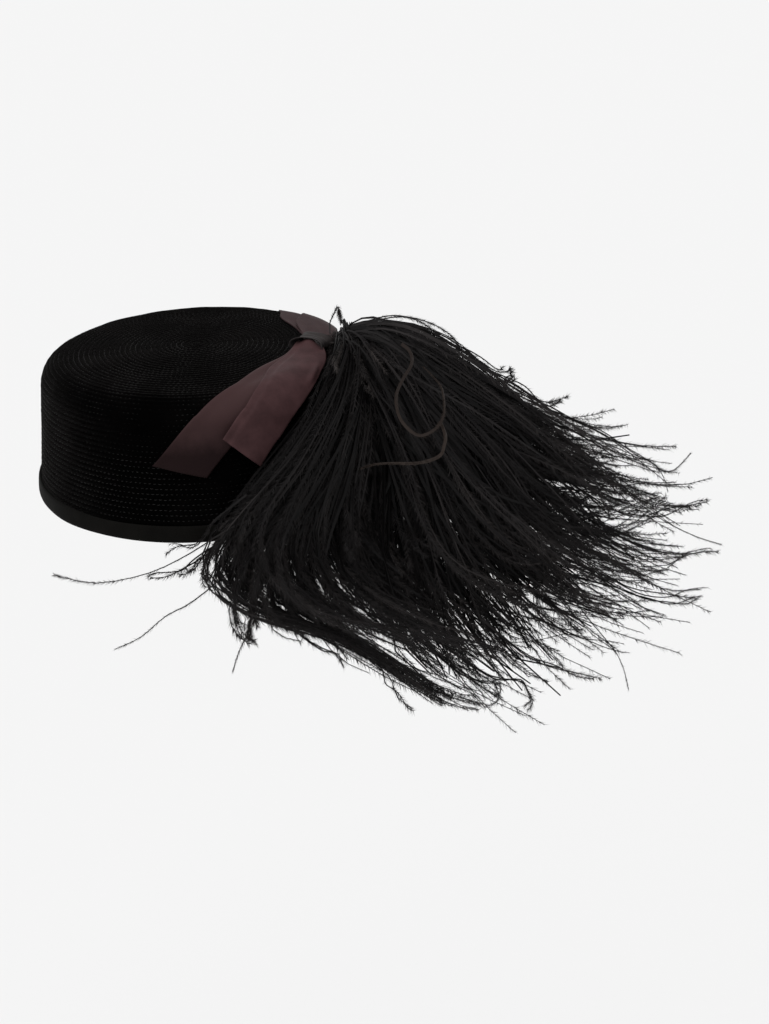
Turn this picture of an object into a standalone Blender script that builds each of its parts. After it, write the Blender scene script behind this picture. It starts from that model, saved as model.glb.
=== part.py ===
"""A cocktail hat: a stitched velvet pillbox with a bound rim, a ribbon bow and an ostrich plume.

Metres, +Z up. The origin is the middle of the head opening, in the plane of the rim. The onlooker
stands at -Y, and +X is the side that the bow and the plume are sewn to.
"""
import math

import bmesh
import bpy
from mathutils import Vector

# Crown, measured outside the velvet
RIM_WIDTH = 0.176
RIM_DEPTH = 0.188
CROWN_HEIGHT = 0.0735
DOME_RISE = 0.0025
SHOULDER_RADIUS = 0.014
WALL_LEAN = 0.005
CROWN_WALL = 0.0025

# Binding folded round the rim
BINDING_HEIGHT = 0.008
BINDING_THICK = 0.001

# Bow
RIBBON_WIDTH = 0.024
RIBBON_THICK = 0.001
RIBBON_EASE = 0.0007     # how far the lowest ribbons lie off the velvet
RIBBON_STEP = 0.0016     # how much higher a ribbon lies for each layer below it
TAIL_SPRING = 0.003      # how far the loose ends stand off the wall
KNOT_WIDTH = 0.019
KNOT_LENGTH = 0.012
KNOT_HEIGHT = 0.008
KNOT_TURN = -12.0        # where the knot is sewn on, in degrees round the crown from +X
KNOT_REACH = 0.424       # and as a share of the way from the middle of the top to the rim
KNOT_HEADING = -28.0     # the direction of the knot's long side in plan
KNOT_CORNERS = 0.8       # how square its section is: 1 is an ellipse
TAIL_WAIST = 0.62        # the share of its width that a tail is gathered to at the knot

# Plume
PLUME_REACH = 0.200      # how far its longest flues reach sideways from the head
PLUME_DROP = 0.190       # how far its deepest flues hang below the head
HEAD_WIDTH = 0.018
HEAD_HEIGHT = 0.013
LOCK_WIDTH = 0.027
LOCK_THICK = 0.012
PLUME_CLEAR = 0.0012     # between the crown and the nearest lock
LOCK_STAGGER = 0.0009    # how much further out each next lock lies over the crown
PLUME_HEADING = -48.0    # the direction in plan that the plume's base points in
BASE_SPREAD = 0.45       # the share of a flue's turn from there that it leaves the head with
SPREAD_POWER = 1.6       # above 1, it takes on the rest of that turn late
RISE_PULL = 0.31         # how stiffly it keeps its slope at the head, as a share of its length
TIP_PULL = 0.34          # and how stiffly it keeps the slope at its tip
HOOK_START = 0.55        # the share of its length after which its tip hooks
LOCK_TAPER = 0.14        # the share of its width that a lock tapers to
LOCK_BLUNT = 0.02        # the share of its length that is cut off the taper at each end
LOCK_FULLNESS = 0.8      # below 1, it widens early and narrows late

# Gap between neighbouring pieces
GAP = 0.0003

# How finely the shapes are cut
CROWN_SIDES = 56
SHOULDER_STEPS = 4
LOCK_STEPS = 8
LOCK_SIDES = 6
HEAD_SIDES = 12
KNOT_SIDES = 14
TAIL_STEPS = 16

# Worked out from the sizes above
DEPTH_RATIO = RIM_DEPTH / RIM_WIDTH
RIM_RADIUS = RIM_WIDTH / 2
WALL_HEIGHT = CROWN_HEIGHT - DOME_RISE - SHOULDER_RADIUS
TOP_RADIUS = RIM_RADIUS - WALL_LEAN - SHOULDER_RADIUS
SHOULDER_ARC = SHOULDER_RADIUS * math.pi / 2
PROFILE_LENGTH = TOP_RADIUS + SHOULDER_ARC + WALL_HEIGHT

# The tails, a row for each place along them: degrees round the crown from +X, the share of the
# way from the middle of the top to the rim, and shares of TAIL_SPRING and of RIBBON_WIDTH.
LONG_TAIL = [
    (-42, 0.462, 0.00, 0.92),
    (-64, 0.534, 0.00, 1.00),
    (-79, 0.612, 0.15, 1.00),
    (-92, 0.752, 0.80, 1.00),
]
WIDE_TAIL = [
    (-39, 0.480, 0.00, 1.00),
    (-53, 0.545, 0.00, 1.02),
    (-65, 0.622, 0.25, 1.02),
    (-72, 0.700, 0.80, 1.00),
]
BACK_LEFT_TAIL = [
    (40, 0.425, 0.00, 0.80),
    (58, 0.505, 0.00, 1.00),
    (66, 0.600, 0.20, 1.00),
    (71, 0.690, 0.60, 1.00),
]
BACK_RIGHT_TAIL = [
    (20, 0.455, 0.00, 0.90),
    (33, 0.515, 0.00, 1.00),
    (40, 0.600, 0.20, 1.00),
    (44, 0.680, 0.60, 1.00),
]
# How much longer one edge of the long tail is than the other, as a share of RIBBON_WIDTH
LONG_TAIL_SLANT = -0.55

# The plume, a row for each heading in plan: the heading in degrees, how far flues go out as a share
# of PLUME_REACH, how far they drop as a share of PLUME_DROP, their slopes at the head and at the
# tip in degrees, and how far the tip hooks to +X as a share of PLUME_REACH.
FAN = [
    (-142, 0.76, 0.56, 12, -40, 0.20),
    (-125, 0.78, 0.66, 14, -44, 0.27),
    (-105, 0.68, 0.76, 20, -52, 0.28),
    (-86, 0.57, 0.83, 26, -54, 0.22),
    (-66, 0.50, 0.93, 30, -54, 0.12),
    (-44, 0.54, 0.96, 34, -50, 0.07),
    (-22, 0.76, 0.80, 36, -36, 0.03),
    (-6, 0.99, 0.60, 36, -18, 0.00),
    (8, 0.90, 0.48, 36, -16, 0.00),
    (24, 0.62, 0.44, 46, -46, 0.00),
    (48, 0.44, 0.40, 52, -64, 0.00),
    (78, 0.34, 0.36, 48, -72, 0.00),
]
# The layers of locks from the outside in, a row for each: how many locks, the first and the last
# heading, the shares of what the fan says for out, drop and rise, and the share of LOCK_WIDTH.
LAYERS = [
    (19, -142, 76, 1.00, 0.92, 1.00, 1.00),
    (15, -136, 56, 0.84, 1.00, 0.35, 1.00),
    (11, -128, 20, 0.66, 0.86, -0.30, 0.90),
]


def crown_profile(reach):
    """Radius, height and outward normal of the crown at a share of the way from top to rim."""
    along = reach * PROFILE_LENGTH
    if along <= TOP_RADIUS:
        share = along / TOP_RADIUS
        height = CROWN_HEIGHT - DOME_RISE * share ** 2
        normal = Vector((2 * DOME_RISE * share / TOP_RADIUS, 1))
        return along, height, normal.normalized()
    if along <= TOP_RADIUS + SHOULDER_ARC:
        angle = (along - TOP_RADIUS) / SHOULDER_RADIUS
        normal = Vector((math.sin(angle), math.cos(angle)))
        return (TOP_RADIUS + SHOULDER_RADIUS * normal.x,
                WALL_HEIGHT + SHOULDER_RADIUS * normal.y, normal)
    height = PROFILE_LENGTH - along
    radius = RIM_RADIUS - WALL_LEAN * height / WALL_HEIGHT
    return radius, height, Vector((WALL_HEIGHT, WALL_LEAN)).normalized()


def ring_point(turn, radius, height):
    angle = math.radians(turn)
    return Vector((radius * math.cos(angle), radius * DEPTH_RATIO * math.sin(angle), height))


def crown_point(turn, reach, lift=0.0):
    """The place that lies lift above the crown's surface."""
    radius, height, normal = crown_profile(reach)
    return ring_point(turn, radius + lift * normal.x, height + lift * normal.y)


def turn_and_reach(point):
    """Where on the domed top a place lies."""
    flat = Vector((point.x, point.y / DEPTH_RATIO))
    return math.degrees(math.atan2(flat.y, flat.x)), flat.length / PROFILE_LENGTH


def clear_of_crown(point, keep, settle=False):
    """Moves a place out to keep above the crown's surface, and with settle also in to it."""
    across = Vector((point.x, point.y / DEPTH_RATIO))
    lean = WALL_LEAN * min(max(point.z / WALL_HEIGHT, 0), 1)
    past_top = across.length - (RIM_RADIUS - lean - SHOULDER_RADIUS)
    above_wall = point.z - WALL_HEIGHT
    if past_top <= 0:
        share = min(across.length / TOP_RADIUS, 1)
        height = CROWN_HEIGHT - DOME_RISE * share ** 2 + keep
        return Vector((point.x, point.y, height if settle else max(point.z, height)))
    away = math.hypot(past_top, max(above_wall, 0))
    move = SHOULDER_RADIUS + keep - away
    if not settle:
        move = max(move, 0)
    across *= 1 + move * past_top / away / across.length
    rise = move * max(above_wall, 0) / away
    return Vector((across.x, across.y * DEPTH_RATIO, point.z + rise))


def heading_vector(degrees):
    return Vector((math.cos(math.radians(degrees)), math.sin(math.radians(degrees)), 0))


def smooth_rows(rows, steps):
    """Rows of numbers read along a smooth curve through the given ones."""
    padded = [rows[0]] + list(rows) + [rows[-1]]
    spans = len(rows) - 1
    found = []
    for step in range(steps + 1):
        place = min(step / steps * spans, spans - 1e-9)
        span = int(place)
        t = place - span
        a, b, c, d = (padded[span + k] for k in range(4))
        found.append(tuple(
            0.5 * (2 * q + (r - p) * t + (2 * p - 5 * q + 4 * r - s) * t ** 2
                   + (3 * q - p - 3 * r + s) * t ** 3)
            for p, q, r, s in zip(a, b, c, d)))
    return found


def row_at(rows, key):
    """The numbers of a table between the two rows on either side of key, its first column."""
    for low, high in zip(rows, rows[1:]):
        if key <= high[0]:
            break
    t = min(max((key - low[0]) / (high[0] - low[0]), 0), 1)
    return [a + (b - a) * t for a, b in zip(low[1:], high[1:])]


def cloth(name, colour, roughness):
    material = bpy.data.materials.new(name)
    material.use_nodes = True
    shader = material.node_tree.nodes["Principled BSDF"]
    shader.inputs["Base Color"].default_value = (*colour, 1)
    shader.inputs["Roughness"].default_value = roughness
    shader.inputs["Metallic"].default_value = 0
    return material


def loft(rings, around=False):
    """Points and faces of a body through rings of equally many points, capped or joined round."""
    size = len(rings[0])
    points = [point for ring in rings for point in ring]
    faces = []
    for here in range(len(rings) if around else len(rings) - 1):
        there = (here + 1) % len(rings)
        for i in range(size):
            j = (i + 1) % size
            faces.append((here * size + i, here * size + j, there * size + j, there * size + i))
    if not around:
        faces.append(tuple(range(size))[::-1])
        faces.append(tuple(range(len(points) - size, len(points))))
    return points, faces


def volume(points, faces):
    """Six times the volume that the faces enclose, below zero if they point inwards."""
    total = 0
    for face in faces:
        first = points[face[0]]
        for a, b in zip(face[1:], face[2:]):
            total += first.dot(points[a].cross(points[b]))
    return total


def add_object(name, points, faces, material):
    if volume(points, faces) < 0:
        faces = [face[::-1] for face in faces]
    mesh = bpy.data.meshes.new(name)
    mesh.from_pydata([tuple(point) for point in points], [], faces)
    mesh.materials.append(material)
    mesh.validate()
    mesh.shade_smooth()
    mesh.set_sharp_from_angle(angle=math.radians(50))
    thing = bpy.data.objects.new(name, mesh)
    bpy.context.scene.collection.objects.link(thing)
    return thing


def turned_shell(profiles):
    """A closed shell of revolution whose section runs from the middle of one face to the other."""
    points = []
    faces = []
    for radius, height in profiles[1:-1]:
        points += [ring_point(360 * i / CROWN_SIDES, radius, height) for i in range(CROWN_SIDES)]
    rings = len(profiles) - 2
    for ring in range(rings - 1):
        for i in range(CROWN_SIDES):
            j = (i + 1) % CROWN_SIDES
            low = ring * CROWN_SIDES
            high = low + CROWN_SIDES
            faces.append((low + j, low + i, high + i, high + j))
    for pole, ring, outside in ((profiles[0], 0, True), (profiles[-1], rings - 1, False)):
        points.append(Vector((0, 0, pole[1])))
        for i in range(CROWN_SIDES):
            edge = (ring * CROWN_SIDES + i, ring * CROWN_SIDES + (i + 1) % CROWN_SIDES)
            faces.append((*(edge if outside else edge[::-1]), len(points) - 1))
    return points, faces


def crown_section(lift):
    """Radius and height down the crown's section, from the middle of the top to its lower edge."""
    lower_edge = BINDING_THICK + GAP
    shoulder = [TOP_RADIUS + SHOULDER_ARC * k / SHOULDER_STEPS for k in range(SHOULDER_STEPS + 1)]
    stations = [0, TOP_RADIUS * 0.35, TOP_RADIUS * 0.7] + shoulder
    found = []
    for along in stations:
        radius, height, normal = crown_profile(along / PROFILE_LENGTH)
        found.append((radius + lift * normal.x, height + lift * normal.y))
    radius, _, normal = crown_profile((PROFILE_LENGTH - lower_edge) / PROFILE_LENGTH)
    found.append((radius + lift * normal.x, lower_edge))
    return found


def make_crown(material):
    section = crown_section(0) + crown_section(-CROWN_WALL)[::-1]
    return add_object("crown", *turned_shell(section), material)


def make_binding(material):
    """A strip folded round the rim, in section a U whose mouth takes the edge of the crown."""
    inside = CROWN_WALL + GAP
    outside = GAP + BINDING_THICK
    fold = BINDING_THICK
    section = [
        (GAP, BINDING_HEIGHT), (outside, BINDING_HEIGHT), (outside, fold), (outside - fold / 2, 0),
        (fold / 2 - inside - BINDING_THICK, 0), (-inside - BINDING_THICK, fold),
        (-inside - BINDING_THICK, BINDING_HEIGHT), (-inside, BINDING_HEIGHT),
        (-inside, BINDING_THICK), (GAP, BINDING_THICK),
    ]
    rings = []
    for side in range(CROWN_SIDES):
        turn = 360 * side / CROWN_SIDES
        rings.append([
            ring_point(turn, RIM_RADIUS - WALL_LEAN * height / WALL_HEIGHT + offset, height)
            for offset, height in section])
    return add_object("edge_binding", *loft(rings, around=True), material)


def knot_frame():
    """Middle of the knot, and the directions of its long side, of its passage and of its height."""
    middle = crown_point(KNOT_TURN, KNOT_REACH, GAP + KNOT_HEIGHT / 2)
    across = heading_vector(KNOT_HEADING)
    through = Vector((0, 0, 1)).cross(across)
    return middle, across, through, Vector((0, 0, 1))


def make_knot(material):
    middle, across, through, up = knot_frame()
    # place: share of half the length. size: share of the whole width and height there.
    bulge = [(-1.0, 0.90), (-0.7, 1.00), (0.0, 0.95), (0.7, 1.00), (1.0, 0.90)]
    rings = []
    for place, size in bulge:
        ring = []
        for corner in range(KNOT_SIDES):
            angle = 2 * math.pi * corner / KNOT_SIDES
            side = math.copysign(abs(math.cos(angle)) ** KNOT_CORNERS, math.cos(angle))
            rise = math.copysign(abs(math.sin(angle)) ** KNOT_CORNERS, math.sin(angle))
            point = (middle + through * (place * KNOT_LENGTH / 2)
                     + across * (side * size * KNOT_WIDTH / 2) + up * (rise * size * KNOT_HEIGHT / 2))
            ring.append(clear_of_crown(point, GAP))
        rings.append(ring)
    return add_object("bow_knot", *loft(rings), material)


def tail_sections(table, layer, face):
    """Middle, width direction, lift and half width along a tail that leaves a face of the knot."""
    middle, across, through, _ = knot_frame()
    start = middle + through * face * (KNOT_LENGTH / 2 + GAP)
    first = (*turn_and_reach(start), 0.0, TAIL_WAIST)
    lift = RIBBON_EASE + RIBBON_THICK / 2 + layer * RIBBON_STEP
    rows = [(*row[:2], max(row[2], 0), row[3]) for row in smooth_rows([first] + table, TAIL_STEPS)]
    places = [crown_point(turn, reach, lift + spring * TAIL_SPRING) for turn, reach, spring, _ in rows]
    sections = []
    for i, (turn, reach, spring, width) in enumerate(rows):
        here = lift + spring * TAIL_SPRING
        tangent = places[min(i + 1, TAIL_STEPS)] - places[max(i - 1, 0)]
        outward = crown_point(turn, reach, here + GAP) - places[i]
        side = outward.cross(tangent).normalized()
        if i == 0:
            side = across * (1 if side.dot(across) > 0 else -1)
        sections.append((places[i], side, here, width * RIBBON_WIDTH / 2))
    return sections


def make_tail(name, table, layer, face, material, slant=0.0):
    """A ribbon tail that lies on the crown, layer ribbons above it, and springs off at its end."""
    rings = []
    sections = tail_sections(table, layer, face)
    along = sections[-1][0] - sections[-2][0]
    for i, (middle, side, lift, half) in enumerate(sections):
        line = [middle + side * (share * half) for share in (-1, -0.5, 0, 0.5, 1)]
        if i == len(sections) - 1:
            reach = along.normalized() * (slant * RIBBON_WIDTH / 4)
            line = [point + reach * step for step, point in zip((-2, -1, 0, 1, 2), line)]
        upper = [clear_of_crown(point, lift + RIBBON_THICK / 2, settle=True) for point in line]
        lower = [clear_of_crown(point, lift - RIBBON_THICK / 2, settle=True) for point in line]
        rings.append(upper + lower[::-1])
    return add_object(name, *loft(rings), material)


def plume_root():
    """Middle of the plume's head, which is sewn down against the end of the knot."""
    middle, across, _, _ = knot_frame()
    return middle + across * (KNOT_WIDTH / 2 + GAP + HEAD_WIDTH / 2)


def lock_path(heading, out, drop, rise, end, hook, keep):
    """A lock's middle line: it rises from the head, arches over, hangs and sweeps to +X at its tip."""
    root = plume_root()
    length = math.hypot(out, drop)
    rise, end = math.radians(rise), math.radians(end)
    first = Vector((math.cos(rise), math.sin(rise))) * (RISE_PULL * length)
    tip = Vector((out, -drop))
    last = tip - Vector((math.cos(end), math.sin(end))) * (TIP_PULL * length)
    start_heading = PLUME_HEADING + (heading - PLUME_HEADING) * BASE_SPREAD
    found = []
    for step in range(LOCK_STEPS + 1):
        t = step / LOCK_STEPS
        bend = 3 * t * (1 - t) ** 2 * first + 3 * t ** 2 * (1 - t) * last + t ** 3 * tip
        turn = heading_vector(start_heading + (heading - start_heading) * t ** SPREAD_POWER)
        point = root + turn * bend.x + Vector((0, 0, bend.y))
        point.x += hook * max((t - HOOK_START) / (1 - HOOK_START), 0) ** 2
        found.append(clear_of_crown(point, keep))
    return found


def lock_rings(path, width, keep):
    """Flattened six-sided sections along a lock, swelling to its middle and tapering to its tip."""
    rings = []
    last = len(path) - 1
    for i, point in enumerate(path):
        t = i / last
        place = LOCK_BLUNT + (1 - 2 * LOCK_BLUNT) * t
        swell = LOCK_TAPER + (1 - LOCK_TAPER) * math.sin(math.pi * place) ** LOCK_FULLNESS
        tangent = (path[min(i + 1, last)] - path[max(i - 1, 0)]).normalized()
        side = tangent.cross(Vector((0, 0, 1))).normalized()
        thick = side.cross(tangent)
        ring = []
        for corner in range(LOCK_SIDES):
            angle = 2 * math.pi * corner / LOCK_SIDES
            edge = (point + side * (math.cos(angle) * width * swell / 2)
                    + thick * (math.sin(angle) * LOCK_THICK * swell / 2))
            ring.append(clear_of_crown(edge, keep))
        rings.append(ring)
    return rings


def keep_outer_skin(thing):
    """Applies a body's modifiers and fills the hollows that its joined shapes close off."""
    graph = bpy.context.evaluated_depsgraph_get()
    mesh = bpy.data.meshes.new_from_object(thing.evaluated_get(graph))
    skin = bmesh.new()
    skin.from_mesh(mesh)
    waiting = set(skin.faces)
    largest = set()
    while waiting:
        island = {waiting.pop()}
        edge_of_island = list(island)
        while edge_of_island:
            face = edge_of_island.pop()
            beside = {other for edge in face.edges for other in edge.link_faces} & waiting
            waiting -= beside
            island |= beside
            edge_of_island += beside
        largest = max(largest, island, key=len)
    hollows = [face for face in skin.faces if face not in largest]
    bmesh.ops.delete(skin, geom=hollows, context="FACES")
    skin.to_mesh(mesh)
    skin.free()
    thing.modifiers.clear()
    thing.data = mesh


def make_plume(material):
    """The head, with every lock joined to it."""
    root = plume_root()
    rings = []
    for level in (-0.9, -0.5, 0.0, 0.5, 0.9):
        half = HEAD_WIDTH / 2 * math.sqrt(1 - level ** 2)
        rings.append([
            clear_of_crown(root + heading_vector(360 * i / HEAD_SIDES) * half
                           + Vector((0, 0, level * HEAD_HEIGHT / 2)), GAP)
            for i in range(HEAD_SIDES)])
    plume = add_object("ostrich_plume", *loft(rings), material)
    points = []
    faces = []
    for layer, row in enumerate(LAYERS[::-1]):
        count, first, last, out_share, drop_share, rise_share, width_share = row
        for lock in range(count):
            heading = first + (last - first) * lock / (count - 1)
            keep = PLUME_CLEAR + LOCK_STAGGER * (2 * layer + lock % 2)
            out, drop, rise, end, hook = row_at(FAN, heading)
            path = lock_path(
                heading, out * out_share * PLUME_REACH, drop * drop_share * PLUME_DROP,
                rise * rise_share, end, hook * PLUME_REACH, LOCK_THICK / 2 + keep)
            more_points, more_faces = loft(lock_rings(path, LOCK_WIDTH * width_share, keep))
            faces += [tuple(i + len(points) for i in face) for face in more_faces]
            points += more_points
    locks = add_object("plume_locks", points, faces, material)
    join = plume.modifiers.new("join_locks", "BOOLEAN")
    join.operation = "UNION"
    join.object = locks
    join.solver = "EXACT"
    join.use_self = True
    keep_outer_skin(plume)
    bpy.data.objects.remove(locks)
    return plume


def main():
    for thing in list(bpy.data.objects):
        bpy.data.objects.remove(thing)
    velvet = cloth("black_velvet", (0.006, 0.0055, 0.006), 0.85)
    binding = cloth("binding_cloth", (0.013, 0.012, 0.011), 0.8)
    satin = cloth("brown_satin", (0.034, 0.017, 0.018), 0.5)
    wrap = cloth("grey_wrap", (0.035, 0.028, 0.028), 0.6)
    feather = cloth("black_ostrich", (0.008, 0.0075, 0.008), 0.6)
    make_crown(velvet)
    make_binding(binding)
    make_tail("bow_tail_long", LONG_TAIL, 0, -1, satin, LONG_TAIL_SLANT)
    make_tail("bow_tail_wide", WIDE_TAIL, 1, -1, satin)
    make_tail("bow_tail_back_left", BACK_LEFT_TAIL, 0, 1, satin)
    make_tail("bow_tail_back_right", BACK_RIGHT_TAIL, 1, 1, satin)
    make_knot(wrap)
    make_plume(feather)


main()
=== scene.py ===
# %% [markdown]
# # A cocktail hat: stitched velvet pillbox, ribbon bow and ostrich plume
# The hat comes from a CAD model, which holds its sizes and its solids. This lesson dresses that
# model: velvet with its rows of machine stitching, a bound rim, satin ribbon, and a plume of more
# than a thousand flues. The first step loads the CAD model as a fixed frame, so every piece can be
# made straight in its place, in metres, with +Z up and the onlooker at -Y.

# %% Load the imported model
import math

import bpy
import numpy as np
from mathutils import Matrix, Vector


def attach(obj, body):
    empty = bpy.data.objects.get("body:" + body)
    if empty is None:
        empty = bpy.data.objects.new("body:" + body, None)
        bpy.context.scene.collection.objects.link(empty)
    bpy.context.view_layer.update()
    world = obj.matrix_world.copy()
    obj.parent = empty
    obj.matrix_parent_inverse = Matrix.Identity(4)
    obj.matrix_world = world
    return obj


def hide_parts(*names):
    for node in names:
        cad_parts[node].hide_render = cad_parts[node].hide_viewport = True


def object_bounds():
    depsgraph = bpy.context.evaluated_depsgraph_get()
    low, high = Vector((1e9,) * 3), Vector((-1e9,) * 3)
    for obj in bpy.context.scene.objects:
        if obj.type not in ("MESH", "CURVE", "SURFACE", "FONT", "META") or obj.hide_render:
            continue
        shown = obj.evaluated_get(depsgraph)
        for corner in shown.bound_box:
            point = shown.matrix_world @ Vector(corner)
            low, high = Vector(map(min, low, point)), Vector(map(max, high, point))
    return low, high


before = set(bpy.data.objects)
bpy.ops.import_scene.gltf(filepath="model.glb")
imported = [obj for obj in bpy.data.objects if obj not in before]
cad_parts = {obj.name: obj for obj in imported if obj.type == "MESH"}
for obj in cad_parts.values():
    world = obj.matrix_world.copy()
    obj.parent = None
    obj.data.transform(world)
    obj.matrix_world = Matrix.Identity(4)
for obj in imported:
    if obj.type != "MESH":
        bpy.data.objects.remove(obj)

cad_box = [list(corner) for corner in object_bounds()]
print("CAD nodes:", ", ".join(sorted(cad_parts)))
print("CAD box in mm:", [[round(1000 * x) for x in corner] for corner in cad_box])

# %% [markdown]
# ## The camera
# A photograph of a product is taken from a little above, with a long lens. Here the camera stands
# a metre away, looks down at 22.7 degrees and is turned by a hair about its own axis. Those four
# numbers make the outline of the crown fall where it does in the photograph. The place is worked
# out from the point where the hat's origin should appear in the picture, which needs no lens shift.

# %% Camera
PICTURE_WIDTH, PICTURE_HEIGHT = 769, 1024
SCALE = 1837.0                    # pixels for each metre, at the distance of the origin
CAMERA_DISTANCE = 1.0
CAMERA_PITCH = math.radians(22.67)
CAMERA_ROLL = math.radians(1.64)
ORIGIN_PIXEL = (205.7, 472.2)
SENSOR = 36.0

forward = Vector((0, math.cos(CAMERA_PITCH), -math.sin(CAMERA_PITCH)))
level_up = Vector((0, math.sin(CAMERA_PITCH), math.cos(CAMERA_PITCH)))
level_right = Vector((1, 0, 0))
right = math.cos(CAMERA_ROLL) * level_right - math.sin(CAMERA_ROLL) * level_up
up = math.sin(CAMERA_ROLL) * level_right + math.cos(CAMERA_ROLL) * level_up
aside = (ORIGIN_PIXEL[0] - PICTURE_WIDTH / 2) / SCALE
above = (PICTURE_HEIGHT / 2 - ORIGIN_PIXEL[1]) / SCALE
eye = -(right * aside + up * above + forward * CAMERA_DISTANCE)

camera_data = bpy.data.cameras.new("camera")
camera_data.sensor_fit = "VERTICAL"
camera_data.sensor_height = SENSOR
camera_data.lens = SENSOR * SCALE * CAMERA_DISTANCE / PICTURE_HEIGHT
camera = bpy.data.objects.new("camera", camera_data)
camera.matrix_world = Matrix.Translation(eye) @ Matrix((right, up, -forward)).transposed().to_4x4()
bpy.context.scene.collection.objects.link(camera)
bpy.context.scene.camera = camera
print("camera at", [round(x, 3) for x in eye], "lens", round(camera_data.lens, 1))

# %% [markdown]
# ## Light and floor
# Black cloth shows its form only by what shines on it, so the studio is white and the light soft.
# An even white world gives most of it, and a very wide sun adds a little from above, in front and
# to the left. Both light the floor alike everywhere, so it stays one plain pale tone. The hat is
# held up as on a head, well above that floor, so it throws next to no shadow on it.

# %% Studio
FLOOR_DROP = 0.9                  # how far below the hat the floor lies
FLOOR_SIZE = 60.0


def plain_material(name, colour, roughness, specular=0.5):
    """A material with the shader's own values set, and that shader."""
    material = bpy.data.materials.new(name)
    material.use_nodes = True
    shader = material.node_tree.nodes["Principled BSDF"]
    shader.inputs["Base Color"].default_value = (*colour, 1)
    shader.inputs["Roughness"].default_value = roughness
    shader.inputs["Specular IOR Level"].default_value = specular
    return material, shader


floor_height = cad_box[0][2] - FLOOR_DROP
half = FLOOR_SIZE / 2
floor_mesh = bpy.data.meshes.new("floor")
floor_mesh.from_pydata(
    [(x, y, floor_height) for x, y in ((-half, -half), (half, -half), (half, half), (-half, half))],
    [], [(0, 1, 2, 3)])
floor = bpy.data.objects.new("floor", floor_mesh)
bpy.context.scene.collection.objects.link(floor)
floor_paper, floor_shader = plain_material("floor_paper", (0.81, 0.81, 0.81), 1.0, 0.0)
floor_mesh.materials.append(floor_paper)

world = bpy.data.worlds.new("studio")
world.use_nodes = True
world.node_tree.nodes["Background"].inputs["Color"].default_value = (1, 1, 1, 1)
world.node_tree.nodes["Background"].inputs["Strength"].default_value = 0.66
bpy.context.scene.world = world
sun_light = bpy.data.lights.new("sun", "SUN")
sun_light.energy = 1.63
sun_light.angle = math.radians(70)
sun = bpy.data.objects.new("sun", sun_light)
sun.rotation_euler = Vector((0.30, 0.35, -1.0)).to_track_quat("-Z", "Y").to_euler()
bpy.context.scene.collection.objects.link(sun)
bpy.context.scene.view_settings.view_transform = "Standard"
print("floor at", round(1000 * floor_height), "mm")

# %% [markdown]
# ## The surface of the crown as a function
# Every piece lies on the velvet, so the crown's outside is written once, as a function. A pillbox
# is a turned shape that has been stretched a little from front to back: a slightly domed top, a
# round shoulder, and a wall that leans in as it rises. A place on it is given by the turn round
# the crown in degrees from +X, and the distance along the velvet from the middle of the top.

# %% Crown surface
RIM_WIDTH = 0.176
RIM_DEPTH = 0.188
CROWN_HEIGHT = 0.0735
DOME_RISE = 0.0025
SHOULDER_RADIUS = 0.014
WALL_LEAN = 0.005
CROWN_WALL = 0.0025
DEPTH_RATIO = RIM_DEPTH / RIM_WIDTH
RIM_RADIUS = RIM_WIDTH / 2
WALL_HEIGHT = CROWN_HEIGHT - DOME_RISE - SHOULDER_RADIUS
TOP_RADIUS = RIM_RADIUS - WALL_LEAN - SHOULDER_RADIUS
SHOULDER_ARC = SHOULDER_RADIUS * math.pi / 2
VELVET_LENGTH = TOP_RADIUS + SHOULDER_ARC + WALL_HEIGHT


def crown_section(along):
    """Radius and height of the velvet, and the sideways and upward parts of its outward direction."""
    along = np.asarray(along, float)
    share = np.clip(along / TOP_RADIUS, 0, 1)
    angle = np.clip((along - TOP_RADIUS) / SHOULDER_RADIUS, 0, math.pi / 2)
    down = np.clip(along - TOP_RADIUS - SHOULDER_ARC, 0, None)
    lean = WALL_LEAN / WALL_HEIGHT
    radius = share * TOP_RADIUS + SHOULDER_RADIUS * np.sin(angle) + lean * down
    height = WALL_HEIGHT + SHOULDER_RADIUS * np.cos(angle) + DOME_RISE * (1 - share ** 2) - down
    return radius, height, np.sin(angle), np.cos(angle) + lean * (down > 0)


def crown_place(turn, along, lift=0.0):
    """Places that lie lift above the velvet."""
    radius, height, sideways, upward = crown_section(along)
    angle = np.radians(turn)
    reach = radius + lift * sideways
    return np.stack(np.broadcast_arrays(
        reach * np.cos(angle), reach * DEPTH_RATIO * np.sin(angle), height + lift * upward), -1)


def clear_of_crown(places, keep, settle=False):
    """Places moved out to keep above the velvet, and with settle also down to it."""
    across = places[..., :2] / (1, DEPTH_RATIO)
    length = np.maximum(np.linalg.norm(across, axis=-1), 1e-9)
    lean = WALL_LEAN * np.clip(places[..., 2] / WALL_HEIGHT, 0, 1)
    past_top = length - (RIM_RADIUS - lean - SHOULDER_RADIUS)
    above_wall = np.maximum(places[..., 2] - WALL_HEIGHT, 0)
    away = np.maximum(np.hypot(past_top, above_wall), 1e-9)
    out = SHOULDER_RADIUS + keep - away
    dome = DOME_RISE * np.clip(length / TOP_RADIUS, 0, 1) ** 2
    rise = CROWN_HEIGHT - dome + keep - places[..., 2]
    if not settle:
        out, rise = np.maximum(out, 0), np.maximum(rise, 0)
    on_top = past_top <= 0
    stretch = 1 + np.where(on_top, 0, out * past_top / away) / length
    height = places[..., 2] + np.where(on_top, rise, out * above_wall / away)
    return np.concatenate([across * stretch[..., None] * (1, DEPTH_RATIO), height[..., None]], -1)


print("velvet from the middle of the top to the rim:", round(1000 * VELVET_LENGTH), "mm")

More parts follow.
